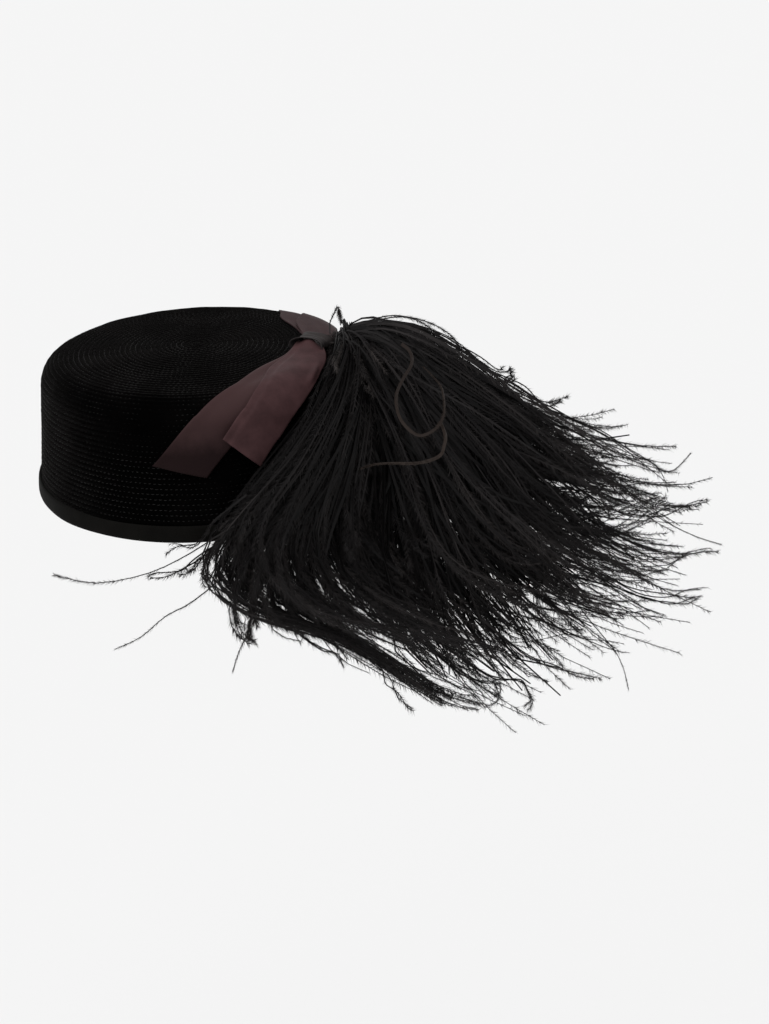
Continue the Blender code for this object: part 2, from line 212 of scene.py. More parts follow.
# %% [markdown]
# ## Small helpers for meshes
# The pieces are grids of points that are worked out with numpy, so one function turns points and
# faces into an object. Cloth is never quite even. A sum of waves in random directions gives a
# smooth, seeded unevenness that is the same on every run.

# %% Mesh helpers


def new_piece(name, points, faces, material, nodes, smooth=True):
    """An object from points and faces, which rides on the hat and stands for CAD nodes."""
    mesh = bpy.data.meshes.new(name)
    mesh.from_pydata(np.asarray(points).reshape(-1, 3), [], faces)
    mesh.materials.append(material)
    if smooth:
        mesh.shade_smooth()
    piece = bpy.data.objects.new(name, mesh)
    bpy.context.scene.collection.objects.link(piece)
    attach(piece, "root")
    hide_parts(*nodes)
    print(name, len(mesh.polygons), "faces")
    return piece


def grid_faces(rows, columns, closed=False, first=0):
    """The quads of a grid of points, joined up along its rows if closed."""
    row, column = np.mgrid[0:rows - 1, 0:columns if closed else columns - 1]
    beside = (column + 1) % columns
    here, there = first + row * columns, first + (row + 1) * columns
    return np.stack([here + column, here + beside, there + beside, there + column], -1).reshape(-1, 4)


def uneven(places, size, seed):
    """Smooth unevenness between about -1 and 1, with swellings of about the given size."""
    draw = np.random.default_rng(seed)
    total = np.zeros(places.shape[:-1])
    for _ in range(10):
        way = draw.normal(size=3)
        way *= 2 * math.pi / (size * draw.uniform(0.8, 2.4) * np.linalg.norm(way))
        total += np.sin(places @ way + draw.uniform(0, 2 * math.pi))
    return total / 4.5


def unit(vectors):
    return vectors / np.maximum(np.linalg.norm(vectors, axis=-1, keepdims=True), 1e-12)


def ease(value):
    """0 below 0, 1 above 1, and smooth between them."""
    value = np.clip(value, 0, 1)
    return value * value * (3 - 2 * value)


# %% [markdown]
# ## Velvet
# Velvet is a dense upright pile. It takes in nearly all light that falls straight on it, and gives
# some back at a grazing angle, so a velvet top looks greyer than a velvet wall. A sheen on a nearly
# black base does that. The pile is brushed a little unevenly, which a large soft noise shows in the
# colour, and each tuft catches light, which a fine noise shows as bump.

# %% Velvet material


def noise_texture(nodes, links, scale, detail=2.0, roughness=0.5):
    """A noise in the object's own metres."""
    coordinates = nodes.new("ShaderNodeTexCoord")
    texture = nodes.new("ShaderNodeTexNoise")
    texture.inputs["Scale"].default_value = scale
    texture.inputs["Detail"].default_value = detail
    texture.inputs["Roughness"].default_value = roughness
    links.new(coordinates.outputs["Object"], texture.inputs["Vector"])
    return texture.outputs["Fac"]


def ramp(nodes, links, source, stops):
    """A colour ramp through (position, colour) stops."""
    node = nodes.new("ShaderNodeValToRGB")
    elements = node.color_ramp.elements
    while len(elements) < len(stops):
        elements.new(0.5)
    for element, (position, colour) in zip(elements, stops):
        element.position = position
        element.color = (*colour, 1)
    links.new(source, node.inputs["Fac"])
    return node.outputs["Color"]


def bump(nodes, links, shader, source, distance, strength=1.0):
    node = nodes.new("ShaderNodeBump")
    node.inputs["Distance"].default_value = distance
    node.inputs["Strength"].default_value = strength
    links.new(source, node.inputs["Height"])
    links.new(node.outputs["Normal"], shader.inputs["Normal"])


def velvet_material():
    material, shader = plain_material("black_velvet", (0.001, 0.001, 0.001), 1.0, 0.0)
    nodes, links = material.node_tree.nodes, material.node_tree.links
    brushed = noise_texture(nodes, links, 38.0, 3.0)
    colour = ramp(nodes, links, brushed, [
        (0.30, (0.0006, 0.0006, 0.0006)), (0.55, (0.0011, 0.0010, 0.0010)),
        (0.75, (0.0022, 0.0020, 0.0019))])
    links.new(colour, shader.inputs["Base Color"])
    shader.inputs["Sheen Weight"].default_value = 0.05
    shader.inputs["Sheen Roughness"].default_value = 0.25
    shader.inputs["Sheen Tint"].default_value = (1.0, 0.95, 0.93, 1)
    bump(nodes, links, shader, noise_texture(nodes, links, 2600.0, 4.0, 0.7), 0.0004, 0.9)
    return material


velvet = velvet_material()

# %% [markdown]
# ## The crown
# The velvet is sewn in close rows to the stiff foundation under it, 2.7 mm from row to row, over
# the top, the shoulder and the wall. Each row pulls the pile down, so the surface is a set of round
# ridges. A bump could fake that, but the ridges also show in the outline, so they are modelled:
# four rings of points for each row, with the first one sunk into the groove. A slanting welt on the
# left wall hides the place where the velvet is joined. The inside is the plain foundation.

# %% Crown mesh
ROW_PITCH = 0.0027
GROOVE = 0.00038
RINGS_PER_ROW = 4
CROWN_SIDES = 176
LOWER_EDGE = 0.0013
JOIN = ((-156.9, 0.600), (-142.7, 0.708), (-132.2, 0.843))
WELT_HEIGHT = 0.0006
WELT_WIDTH = 0.0009


def velvet_relief(turn, along, places):
    """How far the velvet stands off its plain shape."""
    phase = along / ROW_PITCH
    across_row = np.abs(phase - np.round(phase)) * 2
    relief = -GROOVE * (1 - across_row) ** 2
    join = np.array(JOIN)
    join_turn = np.interp(along / VELVET_LENGTH, join[:, 1], join[:, 0])
    aside = np.radians(turn - join_turn) * RIM_RADIUS
    inside = (along > join[0, 1] * VELVET_LENGTH) & (along < join[-1, 1] * VELVET_LENGTH)
    relief = relief + WELT_HEIGHT * np.exp(-(aside / WELT_WIDTH) ** 2) * inside
    return relief + 0.00022 * uneven(places, 0.022, 1) + 0.00008 * uneven(places, 0.006, 2)


turns = np.linspace(0, 360, CROWN_SIDES, endpoint=False)
steps = np.arange(2, int((VELVET_LENGTH - LOWER_EDGE) / ROW_PITCH * RINGS_PER_ROW) + 1)
along = np.append(steps * ROW_PITCH / RINGS_PER_ROW, VELVET_LENGTH - LOWER_EDGE)
turn_grid, along_grid = np.meshgrid(turns, along)
outside = crown_place(turn_grid, along_grid)
outside = crown_place(turn_grid, along_grid, velvet_relief(turn_grid, along_grid, outside))

inner_along = np.append(np.linspace(VELVET_LENGTH - LOWER_EDGE, TOP_RADIUS, 14), [0.05, 0.03, 0.012])
turn_grid, along_grid = np.meshgrid(turns, inner_along)
inside = crown_place(turn_grid, along_grid, -CROWN_WALL)
shell = np.concatenate([outside, inside])
ring_count = len(shell)
faces = grid_faces(ring_count, CROWN_SIDES, closed=True).tolist()
faces.append(list(range(CROWN_SIDES))[::-1])
faces.append(list(range((ring_count - 1) * CROWN_SIDES, ring_count * CROWN_SIDES)))
crown = new_piece("crown_velvet", shell, faces, velvet, ["crown"])
crown_rows = int(VELVET_LENGTH / ROW_PITCH)
print(crown_rows, "rows of stitching")

# %% [markdown]
# ## The stitches
# In each groove lies a line of lockstitches. They are the only things on the velvet that shine: the
# thread is smooth, and each stitch is a tiny arch that throws back a point of light. That dotted
# glint along the shoulder says "machine-stitched" more than the grooves do. A texture would lose
# it, so each of the thousands of stitches is a small three-sided arch of its own.

# %% Stitches
STITCH_PITCH = 0.0026
THREAD_WIDTH = 0.0004
stitch_draw = np.random.default_rng(11)
thread, thread_shader = plain_material("black_thread", (0.004, 0.0038, 0.0036), 0.4, 0.12)
thread_nodes, thread_links = thread.node_tree.nodes, thread.node_tree.links
thread_links.new(
    ramp(thread_nodes, thread_links, noise_texture(thread_nodes, thread_links, 900.0, 2.0),
         [(0.35, (0.0012, 0.0011, 0.0011)), (0.7, (0.0075, 0.0068, 0.0062))]),
    thread_shader.inputs["Base Color"])


def stitch_row(along_row):
    """The points of every stitch in one row, as (stitches, 3 stations, 3 points, xyz)."""
    radius = float(crown_section(along_row)[0])
    count = max(int(2 * math.pi * radius * (1 + DEPTH_RATIO) / 2 / STITCH_PITCH), 6)
    start = stitch_draw.uniform(0, 360) + 360 * np.arange(count) / count
    span = 360 / count * stitch_draw.uniform(0.62, 0.80, count)
    place = along_row + stitch_draw.normal(0, 0.00009, count)
    slant = stitch_draw.normal(0, 0.00010, count)
    rise = stitch_draw.uniform(-0.00010, 0.00010, count)
    stations = []
    for share, lift in ((0.0, -0.00060), (0.5, -0.00008), (1.0, -0.00060)):
        turn = start + span * share
        middle = place + slant * (share - 0.5) * 2
        stations.append(np.stack([
            crown_place(turn, middle - THREAD_WIDTH / 2, lift + rise - THREAD_WIDTH / 2),
            crown_place(turn, middle, lift + rise),
            crown_place(turn, middle + THREAD_WIDTH / 2, lift + rise - THREAD_WIDTH / 2)], 1))
    return np.stack(stations, 1)


stitches = np.concatenate([stitch_row(row * ROW_PITCH) for row in range(3, crown_rows - 2)])
one_stitch = grid_faces(3, 3)
stitch_faces = (one_stitch[None] + 9 * np.arange(len(stitches))[:, None, None]).reshape(-1, 4)
new_piece("crown_stitches", stitches, stitch_faces, thread, ["crown"])

# %% [markdown]
# ## The bound rim
# The raw edge is bound with a smooth strip, folded over the rim and pressed. It is one closed
# ring with a U for its section, swept round the oval. Its outer face swells a little between the
# fold and the upper edge, and the strip pulls slightly unevenly, as bias-cut cloth does.

# %% Binding
BINDING_HEIGHT = 0.008
BINDING_THICK = 0.001
GAP = 0.0003
BINDING_SIDES = 240
binding_cloth, binding_shader = plain_material("binding_cloth", (0.008, 0.0075, 0.007), 0.75, 0.03)
binding_nodes, binding_links = binding_cloth.node_tree.nodes, binding_cloth.node_tree.links
binding_links.new(
    ramp(binding_nodes, binding_links, noise_texture(binding_nodes, binding_links, 70.0, 3.0),
         [(0.3, (0.0024, 0.0023, 0.0020)), (0.7, (0.0050, 0.0046, 0.0040))]),
    binding_shader.inputs["Base Color"])
binding_shader.inputs["Sheen Weight"].default_value = 0.012
bump(binding_nodes, binding_links, binding_shader,
     noise_texture(binding_nodes, binding_links, 1500.0, 3.0), 0.0002, 0.6)

# Each place on the section: its share of the strip's thickness outwards, and its height.
outer = [(0.0, 1.0), (0.45, 1.03), (0.9, 1.0), (1.15, 0.85), (1.25, 0.6), (1.25, 0.32), (1.15, 0.09),
         (0.8, -0.04), (0.0, -0.08)]
inner = [(-0.9, 0.03), (-1.25, 0.2), (-1.25, 0.6), (-1.1, 0.95), (-0.6, 1.0)]
section = [(GAP + BINDING_THICK * share, BINDING_HEIGHT * height) for share, height in outer]
section += [(-CROWN_WALL - GAP + BINDING_THICK * (share + 0.25), BINDING_HEIGHT * height)
            for share, height in inner]
section += [(-CROWN_WALL - GAP, BINDING_THICK * 1.5), (0.0, BINDING_THICK)]
offset, height = np.array(section).T
turn = np.linspace(0, 2 * math.pi, BINDING_SIDES, endpoint=False)[:, None]
level = np.clip(height / WALL_HEIGHT, 0, 1)
radius = RIM_RADIUS - WALL_LEAN * level + offset
rim = np.stack([radius * np.cos(turn), radius * DEPTH_RATIO * np.sin(turn), height + 0 * turn], -1)
pull = uneven(rim * (1, 1, 0.2), 0.028, 3)[..., None]
rim[..., :2] *= 1 + 0.0022 * pull
rim[..., 2] += 0.00025 * pull[..., 0] * (height > 0.5 * BINDING_HEIGHT)
ring = np.concatenate([rim, rim[:1]])
binding_faces = grid_faces(BINDING_SIDES + 1, len(section), closed=True) % (BINDING_SIDES * len(section))
new_piece("rim_binding", rim, binding_faces, binding_cloth, ["edge_binding"])

# %% [markdown]
# ## Satin ribbon
# The bow's tails are dark brown satin. Satin has long floating threads that give a soft, broad
# shine along the cloth. Here that is a fairly smooth surface with weak reflection, a little sheen
# for the edges that turn away, a faint mottle where it has been pressed, and a very fine weave.
# The tails take lighter and darker copies of it as painted light and shade, and the long tail's
# copy darkens towards its end as painted shade.

# %% Satin material


def satin_material(name, dark, light, painted_shade_low_down=False):
    material, shader = plain_material(name, light, 0.52, 0.05)
    nodes, links = material.node_tree.nodes, material.node_tree.links
    mottle = noise_texture(nodes, links, 120.0, 4.0, 0.6)
    # Painted shade: the colour darkens towards the low end of the piece, mixed with the mottle.
    if painted_shade_low_down:
        place = nodes.new("ShaderNodeTexCoord")
        parts = nodes.new("ShaderNodeSeparateXYZ")
        links.new(place.outputs["Generated"], parts.inputs["Vector"])
        painted_shade_mix = nodes.new("ShaderNodeMath")
        painted_shade_mix.operation = "MULTIPLY_ADD"
        painted_shade_mix.inputs[1].default_value = 0.25
        links.new(mottle, painted_shade_mix.inputs[0])
        links.new(parts.outputs["Z"], painted_shade_mix.inputs[2])
        middle = tuple(0.4 * a + 0.6 * b for a, b in zip(dark, light))
        stops, source = [(0.38, dark), (0.62, middle), (1.0, light)], painted_shade_mix.outputs["Value"]
    else:
        stops, source = [(0.3, dark), (0.72, light)], mottle
    links.new(ramp(nodes, links, source, stops), shader.inputs["Base Color"])
    shader.inputs["Sheen Weight"].default_value = 0.012
    shader.inputs["Sheen Roughness"].default_value = 0.4
    shader.inputs["Sheen Tint"].default_value = (1.0, 0.85, 0.85, 1)
    bump(nodes, links, shader, noise_texture(nodes, links, 3200.0, 2.0), 0.00012, 0.5)
    return material


# Copies of one satin with painted light and shade: the wide tail's is painted lighter, the far tails' darker,
# and the long tail's darkens towards its end.
brown_satin = satin_material("brown_satin", (0.0410, 0.0205, 0.0215), (0.0640, 0.0320, 0.0335))
satin_painted_dim = satin_material("satin_painted_dim", (0.0235, 0.0115, 0.0120), (0.0370, 0.0180, 0.0190))
satin_painted_shade = satin_material("satin_painted_shade", (0.0110, 0.0054, 0.0056), (0.0480, 0.0255, 0.0260), painted_shade_low_down=True)
grey_wrap = satin_material("grey_wrap", (0.0220, 0.0190, 0.0190), (0.0370, 0.0315, 0.0310))

# %% [markdown]
# ## The tails of the bow
# A tail is a strip of ribbon that leaves the knot gathered, opens out, follows the shoulder of the
# crown and springs off the wall at its cut end. Cloth simulation would let it fall where it likes,
# but this one has to lie as it was pressed, so its middle line is given by a few places on the
# crown, and a smooth curve goes through them. The strip is spread to both sides of that line, let
# down onto the velvet, and given its pleats and folds as small lifts from it.

# %% Ribbon strips
RIBBON_WIDTH = 0.024
RIBBON_THICK = 0.00045
TAIL_SPRING = 0.003
KNOT_WIDTH = 0.019
KNOT_LENGTH = 0.012
KNOT_HEIGHT = 0.008
KNOT_TURN = -12.0
KNOT_REACH = 0.424
KNOT_HEADING = -28.0
TAIL_WAIST = 0.62
TAIL_STEPS = 72
TAIL_COLUMNS = 29


def heading_vector(degrees):
    angle = np.radians(degrees)
    return np.stack([np.cos(angle), np.sin(angle), 0 * angle], -1)


knot_middle = crown_place(KNOT_TURN, KNOT_REACH * VELVET_LENGTH, GAP + KNOT_HEIGHT / 2)
knot_across = heading_vector(KNOT_HEADING)
knot_through = np.cross((0, 0, 1), knot_across)


def smooth_rows(rows, steps):
    """Rows of numbers read along a smooth curve through the given ones."""
    rows = np.array(rows, float)
    padded = np.concatenate([rows[:1], rows, rows[-1:]])
    place = np.linspace(0, len(rows) - 1, steps)
    span = np.minimum(place.astype(int), len(rows) - 2)
    t = (place - span)[:, None]
    a, b, c, d = (padded[span + k] for k in range(4))
    return 0.5 * (2 * b + (c - a) * t + (2 * a - 5 * b + 4 * c - d) * t ** 2
                  + (3 * b - a - 3 * c + d) * t ** 3)


def ribbon_strip(table, face, lift, folds, slant=0.0):
    """The middle surface of a tail as a grid of points, with its pleats and folds."""
    start = knot_middle + knot_through * face * (KNOT_LENGTH / 2 - 0.004)
    flat = start[:2] / (1, DEPTH_RATIO)
    first = (math.degrees(math.atan2(flat[1], flat[0])), np.linalg.norm(flat) / VELVET_LENGTH,
             0.0, TAIL_WAIST)
    turn, reach, spring, width = smooth_rows([first] + table, TAIL_STEPS).T
    t = np.linspace(0, 1, TAIL_STEPS)
    lift = lift + np.maximum(spring, 0) * TAIL_SPRING
    lift = lift + (KNOT_HEIGHT * 0.5 - lift) * (1 - ease(t / 0.14))
    middle = crown_place(turn, reach * VELVET_LENGTH, lift)
    tangent = unit(np.gradient(middle, axis=0))
    outward = crown_place(turn, reach * VELVET_LENGTH, lift + 0.001) - middle
    side = unit(np.cross(outward, tangent))
    level = knot_across * (1 if side[0] @ knot_across > 0 else -1)
    side = unit(level + (side - level) * ease(t / 0.2)[:, None])
    s = np.linspace(-1, 1, TAIL_COLUMNS)
    spread = (width * RIBBON_WIDTH / 2)[:, None] * s
    strip = middle[:, None] + side[:, None] * spread[..., None]
    cut = slant * RIBBON_WIDTH / 2 * s * ease((t[:, None] - 0.55) / 0.45)
    strip = strip + tangent[:, None] * cut[..., None]
    raised = folds(t[:, None], s[None])
    return clear_of_crown(strip, lift[:, None] + raised, settle=True)


def thick_sheet(strip):
    """Points and faces of a cloth of RIBBON_THICK whose middle surface is the grid."""
    normal = unit(np.cross(np.gradient(strip, axis=0), np.gradient(strip, axis=1)))
    if normal[..., 2].mean() < 0:
        normal = -normal
    rows, columns = strip.shape[:2]
    sides = [strip + normal * (RIBBON_THICK / 2), strip - normal * (RIBBON_THICK / 2)]
    count = rows * columns
    faces = np.concatenate([grid_faces(rows, columns), grid_faces(rows, columns, first=count)[:, ::-1]])
    border = np.concatenate([
        np.arange(columns), np.arange(2, rows) * columns - 1 + 0,
        count - 1 - np.arange(columns), (np.arange(rows - 2, 0, -1)) * columns])
    after = np.roll(border, -1)
    edge = np.stack([after, border, border + count, after + count], -1)
    return np.concatenate([side.reshape(-1, 3) for side in sides]), np.concatenate([faces, edge])


def make_tail(name, node, material, strip):
    points, faces = thick_sheet(strip)
    tail = new_piece(name, points, faces, material, [node])
    return tail


# %% [markdown]
# The long tail lies lowest. Near the knot it is squeezed from the sides, so it has soft lengthwise
# pleats that die away. Its cut end is folded under into a narrow hem, which shows as a line.

# %% Long tail
LONG_TAIL = [
    (-44, 0.455, 0.00, 1.00),
    (-65, 0.528, 0.00, 1.04),
    (-79, 0.612, 0.15, 1.00),
    (-92, 0.752, 0.80, 1.00),
]
HEM = 0.035


def hem(t, s):
    """The step of a narrow hem at a tail's end."""
    return 0.00022 * ease((t - 1 + HEM) / 0.008) + 0 * s


def long_folds(t, s):
    pleats = 0.0007 * np.exp(-(t / 0.32) ** 2) * (1 + np.cos(math.pi * (2.6 * s + 0.4)))
    roll = 0.0010 * ease((np.abs(s) - 0.55) / 0.45) * ease(t / 0.3) * (s < 0)
    return 0.0002 + pleats + roll * 0.6 + hem(t, s) + 0.0002 * np.sin(9 * t + 2 * s)


long_strip = ribbon_strip(LONG_TAIL, -1, 0.0011, long_folds, slant=-0.55)
make_tail("tail_long", "bow_tail_long", satin_painted_shade, long_strip)

# %% [markdown]
# The wide tail lies over it. One long edge is turned under, which leaves a narrow band beside a
# fold line. Right at the knot it arches up in one round pleat, and near its right edge a small
# corner is pinched.

# %% Wide tail
WIDE_TAIL = [
    (-40, 0.478, 0.00, 1.12),
    (-54, 0.543, 0.00, 1.06),
    (-65, 0.622, 0.25, 1.02),
    (-72, 0.700, 0.80, 1.00),
]


def wide_folds(t, s):
    arch = 0.0030 * np.exp(-(t / 0.13) ** 2) * np.cos(math.pi * s / 2) ** 2
    band = -0.00055 * ease((0.62 - np.abs(s + 1) * 1.6) / 0.12) * ease((t - 0.05) / 0.1)
    pinch = 0.0018 * np.exp(-((t - 0.26) / 0.06) ** 2 - ((s - 0.72) / 0.13) ** 2)
    sway = 0.00035 * np.sin(3.2 * s + 6 * t) * ease(t / 0.3)
    return 0.0008 + arch + band + pinch + sway + hem(t, s)


wide_strip = ribbon_strip(WIDE_TAIL, -1, 0.0027, wide_folds)
make_tail("tail_wide", "bow_tail_wide", brown_satin, wide_strip)

# %% [markdown]
# Two more tails leave the far side of the knot and go over the far edge. Only their first few
# centimetres show from the front. They are made in the same way, with plain soft pleats.

# %% Far tails
BACK_LEFT_TAIL = [
    (33, 0.440, 0.00, 0.74),
    (47, 0.505, 0.00, 0.80),
    (56, 0.600, 0.10, 0.90),
    (63, 0.690, 0.40, 0.96),
]
BACK_RIGHT_TAIL = [
    (20, 0.455, 0.00, 0.90),
    (33, 0.515, 0.00, 1.00),
    (40, 0.600, 0.20, 1.00),
    (44, 0.680, 0.60, 1.00),
]


def far_folds(t, s):
    pleats = 0.0004 * np.exp(-(t / 0.3) ** 2) * (1 + np.cos(math.pi * (2.2 * s - 0.3)))
    return 0.0002 + pleats + 0.0002 * (1 + np.sin(4 * t + 2 * s)) + hem(t, s)


left_strip = ribbon_strip(BACK_LEFT_TAIL, 1, 0.0004, far_folds)
make_tail("tail_back_left", "bow_tail_back_left", satin_painted_dim, left_strip)
right_strip = ribbon_strip(BACK_RIGHT_TAIL, 1, 0.0017, far_folds)
make_tail("tail_back_right", "bow_tail_back_right", satin_painted_dim,
          right_strip)

# %% [markdown]
# ## The knot
# The bow isn't tied: a short piece of ribbon is wrapped round its middle and sewn down. So it is
# a tube with open mouths, out of which the tails come. It is pulled in at its waist, and its edges
# are gathered into creases that run round it.

# %% Knot
KNOT_SIDES = 64
KNOT_RINGS = 25
around = np.linspace(0, 2 * math.pi, KNOT_SIDES, endpoint=False)[None]
passage = np.linspace(-1, 1, KNOT_RINGS)[:, None]
waist = 0.90 + 0.13 * passage ** 2
crease = 0.020 * np.sin(11 * passage + 1.2 * np.sin(2 * around)) + 0.018 * np.sin(5 * passage + 3 * around)
size = waist + crease * (1 - 0.3 * passage ** 2)
wave = 0.0012 * np.cos(2 * around + 0.5) * passage
side = np.sign(np.cos(around)) * np.abs(np.cos(around)) ** 0.8
rise = np.sign(np.sin(around)) * np.abs(np.sin(around)) ** 0.8
wrap = (knot_middle + knot_through * (passage * KNOT_LENGTH / 2 + wave)[..., None]
        + knot_across * (side * size * KNOT_WIDTH / 2)[..., None]
        + np.array([0, 0, 1]) * (rise * size * (KNOT_HEIGHT / 2 + 0.0006))[..., None])
wrap = clear_of_crown(wrap, 0.0003)
lining = wrap - knot_across * (side * 0.0006)[..., None] - np.array([0, 0, 1]) * (rise * 0.0006)[..., None]
tube = np.concatenate([wrap, lining[::-1]])
tube_faces = grid_faces(len(tube) + 1, KNOT_SIDES, closed=True) % (len(tube) * KNOT_SIDES)
knot = new_piece("knot_wrap", tube, tube_faces, grey_wrap, ["bow_knot"])

# %% [markdown]
# ## Ostrich flues
# An ostrich feather is a row of long limp flues, each with hundreds of short barbs that don't hook
# together, so it looks like fur. Hair particles would be one way, but the plume has to leave this
# scene as plain meshes. Each flue is a thin three-sided shaft, and each barb one slim triangle on
# it. All of them are worked out together as arrays, which takes a few seconds.
#
# The material is black with a warm or a cool cast that differs from flue to flue, because one
# plume holds feathers that took the dye differently. That value is stored with the points, and it
# also carries painted light and shade: upper flues and barb ends are painted lighter, shafts and
# matted strands painted darker.

# %% Flue material
DYE_AND_LIGHT_ATTRIBUTE = "dye_and_painted_light"


def feather_material(name, stops, roughness, specular, sheen):
    material, shader = plain_material(name, stops[-1][1], roughness, specular)
    nodes, links = material.node_tree.nodes, material.node_tree.links
    dye_and_painted_light = nodes.new("ShaderNodeAttribute")
    dye_and_painted_light.attribute_name = DYE_AND_LIGHT_ATTRIBUTE
    links.new(ramp(nodes, links, dye_and_painted_light.outputs["Fac"], stops), shader.inputs["Base Color"])
    shader.inputs["Sheen Weight"].default_value = sheen
    shader.inputs["Sheen Roughness"].default_value = 0.5
    return material


ostrich = feather_material("black_ostrich", [
    (0.0, (0.0034, 0.0030, 0.0031)), (0.5, (0.0120, 0.0106, 0.0108)),
    (0.8, (0.0270, 0.0238, 0.0234)), (1.0, (0.0500, 0.0433, 0.0408))], 0.50, 0.10, 0.0)

# %% [markdown]
# The path of a flue is drawn in an upright plane: it leaves the head at a slope, arches over and
# ends at its own slope, which a Bezier curve does. The plane turns as the flue goes out, because
# all flues leave the head in much the same direction and then fan out. Its tip is swept to the
# right. The fan is a table: for each heading, how far the flues go out and drop, and their slopes.

# %% Flue paths
PLUME_REACH = 0.194
PLUME_DROP = 0.186
HEAD_WIDTH = 0.018
PLUME_HEADING = -48.0
BASE_SPREAD = 0.45
SPREAD_POWER = 1.6
RISE_PULL, TIP_PULL = 0.34, 0.34
HOOK_START = 0.55
FLUE_STEPS = 20
# Heading, out, drop, slope at the head, slope at the tip, hook, how close the locks stand.
FAN = np.array([
    (-150, 0.79, 0.50, 8, -24, 0.34, 1.4),
    (-144, 0.87, 0.58, 10, -23, 0.53, 2.2),
    (-137, 0.86, 0.63, 14, -22, 0.58, 2.2),
    (-128, 0.72, 0.68, 19, -26, 0.58, 1.8),
    (-116, 0.53, 0.72, 25, -30, 0.54, 1.4),
    (-95, 0.40, 0.91, 33, -40, 0.45, 1.8),
    (-70, 0.37, 1.02, 37, -46, 0.31, 1.9),
    (-47, 0.43, 1.02, 41, -44, 0.20, 1.8),
    (-38, 0.53, 0.94, 43, -36, 0.15, 1.6),
    (-28, 0.63, 0.87, 46, -28, 0.12, 1.6),
    (-20, 0.76, 0.80, 46, -20, 0.11, 2.6),
    (-12, 0.86, 0.70, 47, -16, 0.07, 2.0),
    (-2, 0.90, 0.60, 48, -14, 0.05, 1.4),
    (10, 0.88, 0.51, 46, -17, 0.04, 1.1),
    (26, 0.73, 0.43, 46, -30, 0.03, 0.9),
    (48, 0.49, 0.39, 47, -50, 0.00, 0.8),
    (78, 0.33, 0.37, 47, -62, 0.00, 0.8),
])
plume_root = knot_middle + knot_across * (KNOT_WIDTH / 2 + GAP + HEAD_WIDTH / 2)


def fan_at(heading):
    """Out, drop, rise, end and hook at headings, read between the fan's rows."""
    return [np.interp(heading, FAN[:, 0], FAN[:, column]) for column in range(1, 6)]


def flue_paths(heading, start, out, drop, rise, end, hook):
    """The middle lines of flues, as (flues, FLUE_STEPS + 1, xyz)."""
    heading, start, out, drop, rise, end, hook = (
        np.asarray(x, float)[:, None] for x in (heading, start, out, drop, rise, end, hook))
    t = np.linspace(0, 1, FLUE_STEPS + 1)[None]
    length = np.hypot(out, drop)
    rise, end = np.radians(rise), np.radians(end)
    near, far, last = 3 * t * (1 - t) ** 2, 3 * t ** 2 * (1 - t), t ** 3
    away = (near * np.cos(rise) * RISE_PULL * length
            + far * (out - np.cos(end) * TIP_PULL * length) + last * out)
    height = (near * np.sin(rise) * RISE_PULL * length
              + far * (-drop - np.sin(end) * TIP_PULL * length) - last * drop)
    turn = np.radians(start + (heading - start) * t ** SPREAD_POWER)
    aside = hook * np.clip((t - HOOK_START) / (1 - HOOK_START), 0, 1) ** 2
    return plume_root + np.stack(
        [away * np.cos(turn) + aside, away * np.sin(turn), height], -1)


def path_frames(paths):
    """Unit vectors along, across and above each path."""
    tangent = unit(np.gradient(paths, axis=1))
    side = unit(np.cross(tangent, (0, 0, 1)))
    return tangent, side, np.cross(side, tangent)


# %% [markdown]
# Flues cling together in locks. Each lock has a middle line that sways and curls its own way, so
# neighbouring locks cross. Some twelve locks make one feather, and between feathers the fan is
# thinner. The flues of a lock leave the head side by side, spread to the lock's full width
# and close in again towards the tip, which leaves the gaps that show between locks at the outline.

# %% Locks of flues
LOCKS = 284
FLUES_PER_LOCK = 4
LOCK_RADIUS = 0.0050
LOCK_PROFILE = ((0.0, 0.28, 0.78, 1.0), (0.6, 1.0, 0.34, 0.42))   # share of the length, of the radius
FREEDOM = ((-150, -105, -80, 4, 24), (0.12, 0.35, 1, 1, 0.4))   # by heading: locks keep in line at both edges
FEATHERS = 23
TOGETHER = 0.5
plume_draw = np.random.default_rng(5)
feather_places = (np.arange(FEATHERS) + plume_draw.uniform(0.2, 0.8, FEATHERS)) / FEATHERS


def lock_headings(count):
    """Headings of locks, dealt along the edge of the fan and drawn together into feathers."""
    angle = np.radians(FAN[:, 0])
    edge = np.stack([FAN[:, 1] * np.cos(angle) + FAN[:, 5], FAN[:, 1] * np.sin(angle), -FAN[:, 2]], -1)
    close = (FAN[1:, 6] + FAN[:-1, 6]) / 2
    along_edge = np.concatenate([[0], np.cumsum(close * np.linalg.norm(np.diff(edge, axis=0), axis=1))])
    dealt = (plume_draw.permutation(count) + plume_draw.uniform(0, 1, count)) / count
    nearest = feather_places[np.abs(dealt[:, None] - feather_places).argmin(1)]
    dealt = dealt + (nearest - dealt) * TOGETHER
    return np.interp(dealt * along_edge[-1], along_edge, FAN[:, 0])


def spread_roots(paths, size):
    """Paths that leave the head side by side, as feathers sewn onto a small pad."""
    painted_shade_mix = (1 - np.linspace(0, 1, FLUE_STEPS + 1)[None, :, None]) ** 2
    aside = plume_draw.normal(size=(len(paths), 1, 3))
    aside[..., 0] = np.abs(aside[..., 0]) - 0.3
    return paths + aside * HEAD_WIDTH * size * painted_shade_mix


